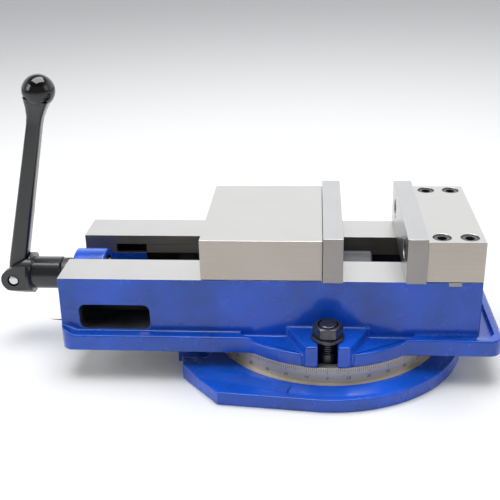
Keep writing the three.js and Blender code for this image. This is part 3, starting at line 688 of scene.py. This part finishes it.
def capScrewHole(size, place):
    seat = -size["headHeight"] - headSink - fitGap
    hole = solidOf(addBar, (0, 0, seat), (0, 0, past), size["bore"])
    end = (0, 0, seat - size["length"] - 2)
    carve(hole, "UNION", [solidOf(addBar, end, (0, 0, seat + past), size["shank"] + fitGap, 48)])
    hole.data.transform(place)
    return hole


def screwPlace(x, y, z, facing):
    # facing is the way the head looks: "Z" up, "X" or "-X"
    turn = {"Z": 0, "X": 90, "-X": -90}[facing]
    return Matrix.Translation((x, y, z)) @ Matrix.Rotation(math.radians(turn), 4, "Y")


oxidePiece = {"slot": "black_oxide_steel", "materials": [blackOxide], "corner": 30, "dissolve": False}

jawLow, jawHigh = nodeBox("fixed_jaw")
keyTopHalf = 66  # the key's upper part stops short of the jaw's faces
boltPlaces = {}
for number in range(1, 5):
    boltLow, boltHigh = nodeBox(f"fixed_jaw_bolt_{number}")
    boltPlaces[number] = ((boltLow.x + boltHigh.x) / 2, (boltLow.y + boltHigh.y) / 2)
    place = screwPlace(*boltPlaces[number], jawHigh.z - headSink, "Z")
    place = place @ Matrix.Rotation(headTurn * number, 4, "Z")
    finishPiece(makeCapScrew(m10, place), f"fixedJawBolt{number}",
                {**oxidePiece, "body": "vise", "nodes": [f"fixed_jaw_bolt_{number}"]})

fixedPlateLow, fixedPlateHigh = nodeBox("fixed_jaw_plate")
movingPlateLow, movingPlateHigh = nodeBox("movable_jaw_plate")
plateScrewZ = 124.5
plateScrewYs = {1: -50, 2: 50}
for number, y in plateScrewYs.items():
    place = screwPlace(fixedPlateLow.x + headSink, y, plateScrewZ, "-X")
    finishPiece(makeCapScrew(m12, place), f"fixedPlateScrew{number}",
                {**oxidePiece, "body": "vise", "nodes": [f"fixed_plate_screw_{number}"]})
    place = screwPlace(movingPlateHigh.x - headSink, y, plateScrewZ, "X")
    finishPiece(makeCapScrew(m12, place), f"movablePlateScrew{number}",
                {**oxidePiece, "body": "moving_jaw", "nodes": [f"movable_plate_screw_{number}"]})


# ---- jaws ----

def makeBlockWith(low, high, holes):
    block = solidOf(addBlock, low.x, high.x, low.y, high.y, low.z, high.z)
    return carve(block, "DIFFERENCE", holes)


def plateHoles(face, facing):
    return [capScrewHole(m12, screwPlace(face, y, plateScrewZ, facing)) for y in plateScrewYs.values()]


def makeFixedJaw():
    keyLow, keyHigh = nodeBox("fixed_jaw_key")
    half = keyTopHalf + fitGap
    keyway = solidOf(addBlock, keyLow.x, keyHigh.x, -half, half, jawLow.z - past, keyHigh.z)
    bolts = [capScrewHole(m10, screwPlace(x, y, jawHigh.z, "Z")) for x, y in boltPlaces.values()]
    return makeBlockWith(jawLow, jawHigh, [keyway, *bolts, *plateHoles(fixedPlateLow.x, "-X")])


# faces that look along Y, front and back, take the darker Side copy of the steel: painted shade
def pickSteelFace(face):
    return 1 if abs(face.normal.y) > 0.9 else 0


groundPiece = {"pick": pickSteelFace, "round": 0.6, "segments": 2}
steelPiece = {**groundPiece, "slot": "ground_steel",
              "materials": [metals["groundSteel"], metals["groundSteelPaintedShadeSide"]]}
platePiece = {**groundPiece, "slot": "hardened_steel",
              "materials": [metals["groundHardSteel"], metals["groundHardSteelPaintedShadeSide"]]}

finishPiece(makeFixedJaw(), "fixedJawBlock", {**steelPiece, "body": "vise", "nodes": ["fixed_jaw"]})
finishPiece(makeBlockWith(fixedPlateLow, fixedPlateHigh, plateHoles(fixedPlateLow.x, "-X")),
            "fixedJawPlate", {**platePiece, "body": "vise", "nodes": ["fixed_jaw_plate"]})
finishPiece(makeBlockWith(movingPlateLow, movingPlateHigh, plateHoles(movingPlateHigh.x, "X")),
            "movableJawPlate", {**platePiece, "body": "moving_jaw", "nodes": ["movable_jaw_plate"]})

jaw = {
    "pocketLeft": -98, "pocketHalf": 26, "pocketTop": 128, "skirtBottom": 92, "lockZ": 116, "lockRadius": 5.3,
    "ball": Vector((-40, 0, 112)), "ballRadius": 11, "wedge": math.pi / 4,
    "towerHalf": 20, "towerTop": 124, "wingHalf": 39, "wingRight": -30, "wingBottom": 69.5, "wingTop": 81.2,
    "nutRadius": 24.5, "nutLeft": -78, "threadBore": 12.8, "clearOfJaw": 3.3,
}


def belowWedge(offset):
    # everything on the handle side of the slope that the half ball pushes on
    big = 400
    tool = solidOf(addBlock, offset - big, offset, -big / 2, big / 2, -big / 2, big / 2)
    tool.data.transform(Matrix.Translation(jaw["ball"]) @ Matrix.Rotation(-jaw["wedge"], 4, "Y"))
    return tool


def makeMovableJaw():
    low, high = nodeBox("movable_jaw")
    seat = body["top"] + fitGap
    block = solidOf(addBlock, low.x, high.x, low.y, high.y, seat, high.z)
    skirts = []
    for side in (-1, 1):
        across = sorted((side * jaw["pocketHalf"], side * (body["channel"] - fitGap)))
        skirts.append(solidOf(addBlock, low.x, high.x, *across, jaw["skirtBottom"], seat + past))
    carve(block, "UNION", skirts)
    pocket = solidOf(addBlock, jaw["pocketLeft"], high.x + 10, -jaw["pocketHalf"], jaw["pocketHalf"],
                     seat - past, jaw["pocketTop"])
    carve(pocket, "INTERSECT", [belowWedge(fitGap)])
    ends = [(x, 0, jaw["lockZ"]) for x in (low.x - past, jaw["pocketLeft"] + past)]
    lock = solidOf(addBar, *ends, jaw["lockRadius"], 32)
    return carve(block, "DIFFERENCE", [pocket, lock, *plateHoles(movingPlateHigh.x, "X")])


def makeJawNut():
    low, high = nodeBox("jaw_nut")
    end = high.x
    profile = [(jaw["nutLeft"], 0), (jaw["nutLeft"], jaw["nutRadius"]), (end - 1.5, jaw["nutRadius"]),
               (end, jaw["nutRadius"] - 1.5), (end, 0)]
    nut = solidOf(addTurned, profile, (0, 0, screwZ), (1, 0, 0), 96)
    left, half, wing = jaw["nutLeft"], jaw["towerHalf"], jaw["wingHalf"]
    tower = solidOf(addBlock, left, movingPlateLow.x, -half, half, screwZ, jaw["towerTop"])
    carve(tower, "INTERSECT", [belowWedge(-jaw["clearOfJaw"])])
    wings = solidOf(addBlock, left, jaw["wingRight"], -wing, wing, jaw["wingBottom"], jaw["wingTop"])
    carve(nut, "UNION", [tower, wings])
    bm = bmesh.new()
    bmesh.ops.create_uvsphere(bm, u_segments=48, v_segments=24, radius=jaw["ballRadius"] + fitGap,
                              matrix=Matrix.Translation(jaw["ball"]))
    bore = alongXBar(jaw["nutLeft"] - past, end + past, jaw["threadBore"], 64)
    return carve(nut, "DIFFERENCE", [solidFrom(bm), bore])


finishPiece(makeMovableJaw(), "movableJawBlock",
            {**steelPiece, "body": "moving_jaw", "nodes": ["movable_jaw"]})
finishPiece(makeJawNut(), "jawNut",
            {"slot": "ground_steel", "body": "moving_jaw", "nodes": ["jaw_nut"], "corner": 40,
             "materials": [darkIronShade], "round": 0.6, "segments": 2})


# ---- lead screw and collar ----

leadThread = {"pitch": 5, "crest": 12.5, "root": 9.8, "crestFlat": 0.34, "rootFlat": 0.34, "hand": -1}
hubHigh = nodeBox("handle_hub")[1]
collarLow, collarHigh = nodeBox("thrust_collar")
screwLow, screwHigh = nodeBox("lead_screw")
washerHigh = nodeBox("thrust_washer_inner")[1]
screwSize = {"journal": 11, "shoulder": 16, "shoulderLength": 7.5, "hexFlats": 19, "lead": 0.8}


def makeLeadScrew():
    s = screwSize
    left = washerHigh.x + fitGap
    right = left + s["shoulderLength"]
    hexEnd = collarLow.x + past
    drive = solidOf(addPrism, hexagon(s["hexFlats"], 30), screwLow.x, hexEnd, "X")
    drive.data.transform(Matrix.Translation((0, 0, screwZ)))
    lead, shoulder = s["lead"], s["shoulder"]
    profile = [(collarLow.x, 0), (collarLow.x, s["journal"]), (left, s["journal"]),
               (left, shoulder - lead), (left + lead, shoulder), (right - lead, shoulder),
               (right, shoulder - lead), (right, 0)]
    shaft = solidOf(addTurned, profile, (0, 0, screwZ), (1, 0, 0), 64)
    thread = solidOf(addThread, leadThread, right - 0.2, screwHigh.x, (0, 0, screwZ), (1, 0, 0), 40)
    return joinShells([drive, shaft, thread])


brightPiece = {"body": "screw", "slot": "ground_steel", "materials": [metals["turnedBrightSteel"]],
               "corner": 30, "dissolve": False}
finishPiece(makeLeadScrew(), "leadScrew", {**brightPiece, "nodes": ["lead_screw"]})


collarSize = {"outer": 15.3, "inner": 11.3, "lead": 1, "setHole": 3.2}


def makeCollar():
    low, high = collarLow.x, collarHigh.x
    outer, inner, lead = collarSize["outer"], collarSize["inner"], collarSize["lead"]
    profile = [(low, inner), (low, outer - lead), (low + lead, outer), (high - lead, outer),
               (high, outer - lead), (high, inner), (low, inner)]
    collar = solidOf(addTurned, profile, (0, 0, screwZ), (1, 0, 0), 96)
    setLow, setHigh = nodeBox("collar_set_screw")
    x = (setLow.x + setHigh.x) / 2
    hole = solidOf(addBar, (x, 0, screwZ), (x, 0, screwZ + outer + past), collarSize["setHole"], 32)
    return carve(collar, "DIFFERENCE", [hole])


finishPiece(makeCollar(), "thrustCollar", {**oxidePiece, "body": "screw", "nodes": ["thrust_collar"]})


# ---- handle ----

handle = {
    "hub": 16.4, "hubRight": hubHigh.x, "fork": 20.7, "forkHalf": 16,
    "forkRight": -297.5, "forkRootX": -302.5, "pinRelief": 0.9, "shoulder": 4,
    "slotHalf": 9, "slotRight": -300.8, "endRadius": 12.4, "rootHalf": 18.5,
    "pinX": -316.6, "pinZ": 69.6, "pin": 5.1, "lean": 13.2, "reach": 195.6, "ball": 15.6,
}


def makeHandleHub():
    h = handle
    arc = arcPoints(h["pinX"], h["pinZ"], h["endRadius"], 113, 258, 24)
    side = [(h["forkRight"], screwZ - h["rootHalf"]), (h["forkRight"], screwZ + h["rootHalf"]),
            (h["forkRootX"], screwZ + h["rootHalf"]), *arc, (h["forkRootX"], screwZ - h["rootHalf"])]
    fork = solidOf(addPrism, side, -h["forkHalf"], h["forkHalf"], "Y")
    far = h["pinX"] - h["endRadius"] - past
    carve(fork, "INTERSECT", [alongXBar(far, h["forkRight"], h["fork"])])
    # the root's shoulder is forged round, and runs down into the barrel
    low, high, soft = h["forkRootX"], h["forkRight"], h["shoulder"]
    profile = [(low, 0), (low, h["fork"] - 0.5), (low + 0.5, h["fork"]),
               *((high - soft + soft * math.sin(a), h["hub"] + (h["fork"] - h["hub"]) * math.cos(a))
                 for a in (math.radians(15 * step) for step in range(7))),
               (h["hubRight"] - 1, h["hub"]), (h["hubRight"], h["hub"] - 1), (h["hubRight"], 0)]
    carve(fork, "UNION", [solidOf(addTurned, profile, (0, 0, screwZ), (1, 0, 0), 96)])
    half = h["slotHalf"]
    slot = solidOf(addBlock, far - past, h["slotRight"], -half, half, screwZ - 30, screwZ + 30)
    pinEnds = [(h["pinX"], y, h["pinZ"]) for y in (-30, 30)]
    pinHole = solidOf(addBar, *pinEnds, h["pin"] + h["pinRelief"], 48)
    hexHole = hexagon(screwSize["hexFlats"] + 2 * fitGap, 30)
    socket = solidOf(addPrism, hexHole, screwLow.x - fitGap, h["hubRight"] + past, "X")
    socket.data.transform(Matrix.Translation((0, 0, screwZ)))
    return carve(fork, "DIFFERENCE", [slot, pinHole, socket])


finishPiece(makeHandleHub(), "handleHub",
            {"body": "screw", "slot": "black_handle_paint", "nodes": ["handle_hub"],
             "materials": [blackPaint], "corner": 30, "round": 0.8, "segments": 2, "clamp": True,
             "dissolve": False})


def makeHandlePin():
    h = handle
    half, radius = h["forkHalf"] - 0.4, h["pin"]
    profile = [(-half, 0), (-half, radius - 1.6), (0.5 - half, radius - 0.4), (1.2 - half, radius),
               (half - 1.2, radius), (half - 0.5, radius - 0.4), (half, radius - 1.6), (half, 0)]
    return solidOf(addTurned, profile, (h["pinX"], 0, h["pinZ"]), (0, 1, 0), 48)


finishPiece(makeHandlePin(), "handlePin",
            {"body": "screw", "slot": "zinc_plate", "nodes": ["handle_pin"],
             "materials": [zinc], "dissolve": False, "corner": 60})

# height over the pin, then half width and half depth of the forged bar
armStations = [(9, 8.4, 8.2), (14, 8.8, 8.4), (24, 8.8, 8.4), (80, 8.0, 7.8), (140, 7.3, 7.2),
               (162, 7.1, 7.0), (170, 7.6, 7.5), (178, 9.2, 9.2), (184, 11.1, 11.1), (188, 12.4, 12.4)]


def makeHandleArm():
    h = handle
    tongue = arcPoints(0, 0, h["endRadius"] - 1, 100, 440, 48)[:-1]
    foot = solidOf(addPrism, tongue, fitGap - h["slotHalf"], h["slotHalf"] - fitGap, "Y")
    bm = bmesh.new()
    ring = bmesh.ops.create_circle(bm, cap_ends=False, segments=48, radius=1)["verts"]
    for vert in ring:
        # a square with well rounded corners
        grow = (abs(vert.co.x) ** 5 + abs(vert.co.y) ** 5) ** -0.2
        vert.co.x, vert.co.y = vert.co.x * grow, vert.co.y * grow
    edges = list({edge for vert in ring for edge in vert.link_edges})
    z0, w0, d0 = armStations[0]
    bmesh.ops.scale(bm, vec=(w0, d0, 1), verts=ring)
    bmesh.ops.translate(bm, vec=(0, 0, z0 - 4), verts=ring)
    bmesh.ops.contextual_create(bm, geom=edges)
    lastZ, lastW, lastD = z0 - 4, w0, d0
    for z, wide, deep in armStations:
        made = bmesh.ops.extrude_edge_only(bm, edges=edges)["geom"]
        verts = [item for item in made if isinstance(item, bmesh.types.BMVert)]
        edges = [item for item in made if isinstance(item, bmesh.types.BMEdge)]
        bmesh.ops.scale(bm, vec=(wide / lastW, deep / lastD, 1), verts=verts)
        bmesh.ops.translate(bm, vec=(0, 0, z - lastZ), verts=verts)
        lastZ, lastW, lastD = z, wide, deep
    bmesh.ops.contextual_create(bm, geom=edges)
    shank = solidFrom(bm)
    carve(shank, "UNION", [foot])
    bm = bmesh.new()
    bmesh.ops.create_uvsphere(bm, u_segments=64, v_segments=32, radius=h["ball"],
                              matrix=Matrix.Translation((0, 0, h["reach"])))
    carve(shank, "UNION", [solidFrom(bm)])
    carve(shank, "DIFFERENCE", [solidOf(addBar, (0, -30, 0), (0, 30, 0), h["pin"] + 0.2, 48)])
    lean = Matrix.Translation((h["pinX"], 0, h["pinZ"])) @ Matrix.Rotation(math.radians(h["lean"]), 4, "Y")
    shank.data.transform(lean)
    return shank


ballCentre = (Matrix.Translation((handle["pinX"], 0, handle["pinZ"]))
              @ Matrix.Rotation(math.radians(handle["lean"]), 4, "Y")) @ Vector((0, 0, handle["reach"]))


def pickArmFace(face):
    return 1 if abs((face.verts[0].co - ballCentre).length - handle["ball"]) < 0.1 else 0


finishPiece(makeHandleArm(), "handleArm",
            {"body": "handle", "slot": "black_handle_paint", "nodes": ["handle_arm"],
             "materials": [blackPaint, blackKnob], "pick": pickArmFace, "corner": 75})


# ---- swivel clamps ----

clamp = {"radius": 8, "washer": 15, "nutFlats": 24,
         "thread": {**vThread, "pitch": 2, "crest": 8, "root": 6.8}, "threadFrom": 40}


def chamferedHex(flats, x, y, z0, z1):
    # a hexagon whose corners are turned off at both ends, as on a hot forged nut
    nut = solidOf(addPrism, hexagon(flats), z0, z1)
    corner = flats / math.sqrt(3)
    face = flats / 2 - 0.4
    fall = (corner - face) * math.tan(math.radians(30))
    profile = [(z0, 0), (z0, face), (z0 + fall, corner), (z1 - fall, corner), (z1, face), (z1, 0)]
    carve(nut, "INTERSECT", [solidOf(addTurned, profile, (0, 0, 0), (0, 0, 1), 96)])
    nut.data.transform(Matrix.Translation((x, y, 0)))
    return nut


for end, side in (("front", -1), ("rear", 1)):
    y = side * base["clampRadius"]
    headLow, headHigh = nodeBox(f"t_bolt_{end}")
    washerLow, washerHigh = nodeBox(f"swivel_washer_{end}")
    nutLow, nutHigh = nodeBox(f"swivel_nut_{end}")
    headHalf = (headHigh.x - headLow.x) / 2
    headTop = base["undercutTop"] - fitGap
    head = solidOf(addBlock, -headHalf, headHalf, y - headHalf, y + headHalf, headLow.z, headTop)
    plain = solidOf(addBar, (0, y, headTop - past), (0, y, clamp["threadFrom"]), clamp["radius"], 48)
    start = clamp["threadFrom"] - 0.2
    thread = solidOf(addThread, clamp["thread"], start, headHigh.z, (0, y, 0), (0, 0, 1), 40)
    finishPiece(joinShells([head, plain, thread]), f"tBolt_{end}",
                {**oxidePiece, "body": "vise", "nodes": [f"t_bolt_{end}"]})
    inner, outer = clamp["radius"] + fitGap, clamp["washer"]
    z0, z1 = washerLow.z, washerHigh.z
    ring = [(z0, inner), (z0, outer - 0.3), (z0 + 0.3, outer), (z1 - 0.6, outer), (z1, outer - 0.6),
            (z1, inner + 0.3), (z1 - 0.3, inner), (z0, inner)]
    finishPiece(solidOf(addTurned, ring, (0, y, 0), (0, 0, 1), 96), f"swivelWasher_{end}",
                {**oxidePiece, "body": "vise", "nodes": [f"swivel_washer_{end}"]})
    nut = chamferedHex(clamp["nutFlats"], 0, y, nutLow.z, nutHigh.z)
    bore = solidOf(addBar, (0, y, nutLow.z - past), (0, y, nutHigh.z + past), inner, 48)
    leadIn = [solidOf(addBar, (0, y, face), (0, y, face + outward * 1.2), inner - 0.2, 48, inner + 1.4)
              for face, outward in ((nutLow.z + 0.9, -1), (nutHigh.z - 0.9, 1))]
    finishPiece(carve(nut, "DIFFERENCE", [bore, *leadIn]), f"swivelNut_{end}",
                {**oxidePiece, "body": "vise", "nodes": [f"swivel_nut_{end}"], "round": 0.25, "segments": 2})


# ---- dial marks ----

dial = {"marks": 360, "short": 3.6, "middle": 5.2, "long": 6.2, "width": 0.34, "proud": 0.05, "top": 31.2,
        "figure": 4.4, "figureZ": 19.4}


def makeDialMarks():
    bm = bmesh.new()
    radius = base["dialRadius"]
    for number in range(dial["marks"]):
        length = dial["long"] if number % 10 == 0 else dial["middle"] if number % 5 == 0 else dial["short"]
        verts = addBlock(bm, -dial["width"] / 2, dial["width"] / 2, -radius - dial["proud"], -radius + 0.4,
                         dial["top"] - length, dial["top"])
        turn = Matrix.Rotation(fullTurn * number / dial["marks"], 3, "Z")
        bmesh.ops.rotate(bm, cent=(0, 0, 0), matrix=turn, verts=verts)
    for number in range(0, dial["marks"], 10):
        # two quadrants up to 90 and back, as on a protractor
        reading = min(number % 180, 180 - number % 180)
        words = bpy.data.curves.new("figure", "FONT")
        words.body, words.size, words.align_x = str(reading), dial["figure"], "CENTER"
        words.extrude, words.resolution_u = 0.2, 3
        text = bpy.data.objects.new("figure", words)
        mesh = bpy.data.meshes.new_from_object(text)
        upright = Matrix.Rotation(math.pi / 2, 4, "X")
        upright = Matrix.Translation((0, 0.2 - radius - dial["proud"], dial["figureZ"])) @ upright
        mesh.transform(Matrix.Rotation(fullTurn * number / dial["marks"], 4, "Z") @ upright)
        bm.from_mesh(mesh)
        bpy.data.objects.remove(text)
    return solidFrom(bm)


marks = makeDialMarks()
marks.name = marks.data.name = "dialMarks"
marks.data.transform(Matrix.Scale(metresPerMm, 4))
marks.data.materials.append(filler)
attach(marks, "base")
print("dialMarks", len(marks.data.polygons), "faces")


# ---- CAD nodes that keep their own shape ----

# the fixed jaw's key takes the darker Side copy of hard steel, as painted shade
keptNodes = {
    "swivel_pivot_pin": metals["turnedBrightSteel"], "fixed_jaw_key": metals["groundHardSteelPaintedShadeSide"],
    "lock_half_ball": metals["groundHardSteel"], "jaw_lock_screw": blackOxide,
    "thrust_washer_outer": metals["groundHardSteel"], "thrust_washer_inner": metals["groundHardSteel"],
    "thrust_bearing": bronze, "collar_set_screw": blackOxide,
}
for node, material in keptNodes.items():
    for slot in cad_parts[node].material_slots:
        slot.material = material


# ---- floor, light and camera ----

floorLook = {"colour": "#eaebec", "roughness": 0.6, "side": 14}


def makeFloor():
    bm = bmesh.new()
    bmesh.ops.create_grid(bm, x_segments=1, y_segments=1, size=floorLook["side"] / 2)
    mesh = bpy.data.meshes.new("floor")
    bm.to_mesh(mesh)
    bm.free()
    floor = bpy.data.objects.new("floor", mesh)
    bpy.context.scene.collection.objects.link(floor)
    shader = {"Base Color": hexColour(floorLook["colour"]), "Roughness": floorLook["roughness"]}
    floor.data.materials.append(startMaterial("paperFloor", shader)[0])


# place and aim are metres, size is the softbox's sides
lights = {
    "overheadBox": {"place": (-0.1, 0.1, 1.7), "aim": (0, 0, 0.05), "size": (1.6, 1.2), "power": 34},
    "leftBox": {"place": (-1.5, -0.7, 0.9), "aim": (-0.05, 0, 0.08), "size": (0.7, 0.9), "power": 6},
    "rightBox": {"place": (1.5, -0.4, 0.9), "aim": (0, 0, 0.08), "size": (0.7, 0.9), "power": 2},
}


def makeLight(name, look):
    lamp = bpy.data.lights.new(name, "AREA")
    lamp.shape, lamp.size, lamp.size_y, lamp.energy = "RECTANGLE", *look["size"], look["power"]
    rig = bpy.data.objects.new(name, lamp)
    rig.location = look["place"]
    aim = Vector(look["aim"]) - Vector(look["place"])
    rig.rotation_euler = aim.to_track_quat("-Z", "Y").to_euler()
    bpy.context.scene.collection.objects.link(rig)


def makeWorld():
    # a white studio, brighter behind the object than in front of it
    world = bpy.data.worlds.new("studio")
    world.use_nodes = True
    tree = world.node_tree
    tree.nodes.clear()
    place = addNode(tree, "ShaderNodeTexCoord", {}).outputs["Generated"]
    parts = addNode(tree, "ShaderNodeSeparateXYZ", {}, {"Vector": place})
    frontToBack = {"From Min": -0.6, "From Max": 0.8, "To Min": 0.2, "To Max": 1.3}
    level = addNode(tree, "ShaderNodeMapRange", frontToBack, {"Value": parts.outputs["Y"]})
    # the paper sweep stays bright only up to the height it is hung at
    lowToHigh = {"From Min": 0.5, "From Max": 0.72, "To Min": 1.0, "To Max": 0.3}
    sweep = addNode(tree, "ShaderNodeMapRange", lowToHigh, {"Value": parts.outputs["Z"]})
    both = addNode(tree, "ShaderNodeMath", {"operation": "MULTIPLY"},
                   {0: level.outputs["Result"], 1: sweep.outputs["Result"]})
    white = {"Color": hexColour("#fbfcff")}
    back = addNode(tree, "ShaderNodeBackground", white, {"Strength": both.outputs["Value"]})
    addNode(tree, "ShaderNodeOutputWorld", {}, {"Surface": back.outputs["Background"]})
    bpy.context.scene.world = world


camera = {"place": (-0.0132, -0.7790, 0.4385), "turn": (66.503, 1.272, 4.099), "lens": 61.65, "sensor": 36}


def makeCamera():
    eye = bpy.data.cameras.new("camera")
    eye.lens, eye.sensor_width, eye.sensor_fit = camera["lens"], camera["sensor"], "HORIZONTAL"
    rig = bpy.data.objects.new("camera", eye)
    rig.location = camera["place"]
    rig.rotation_euler = [math.radians(angle) for angle in camera["turn"]]
    bpy.context.scene.collection.objects.link(rig)
    bpy.context.scene.camera = rig


makeFloor()
for name, look in lights.items():
    makeLight(name, look)
makeWorld()
makeCamera()
bpy.context.scene.view_settings.view_transform = "Standard"
print("stage, light and camera made")
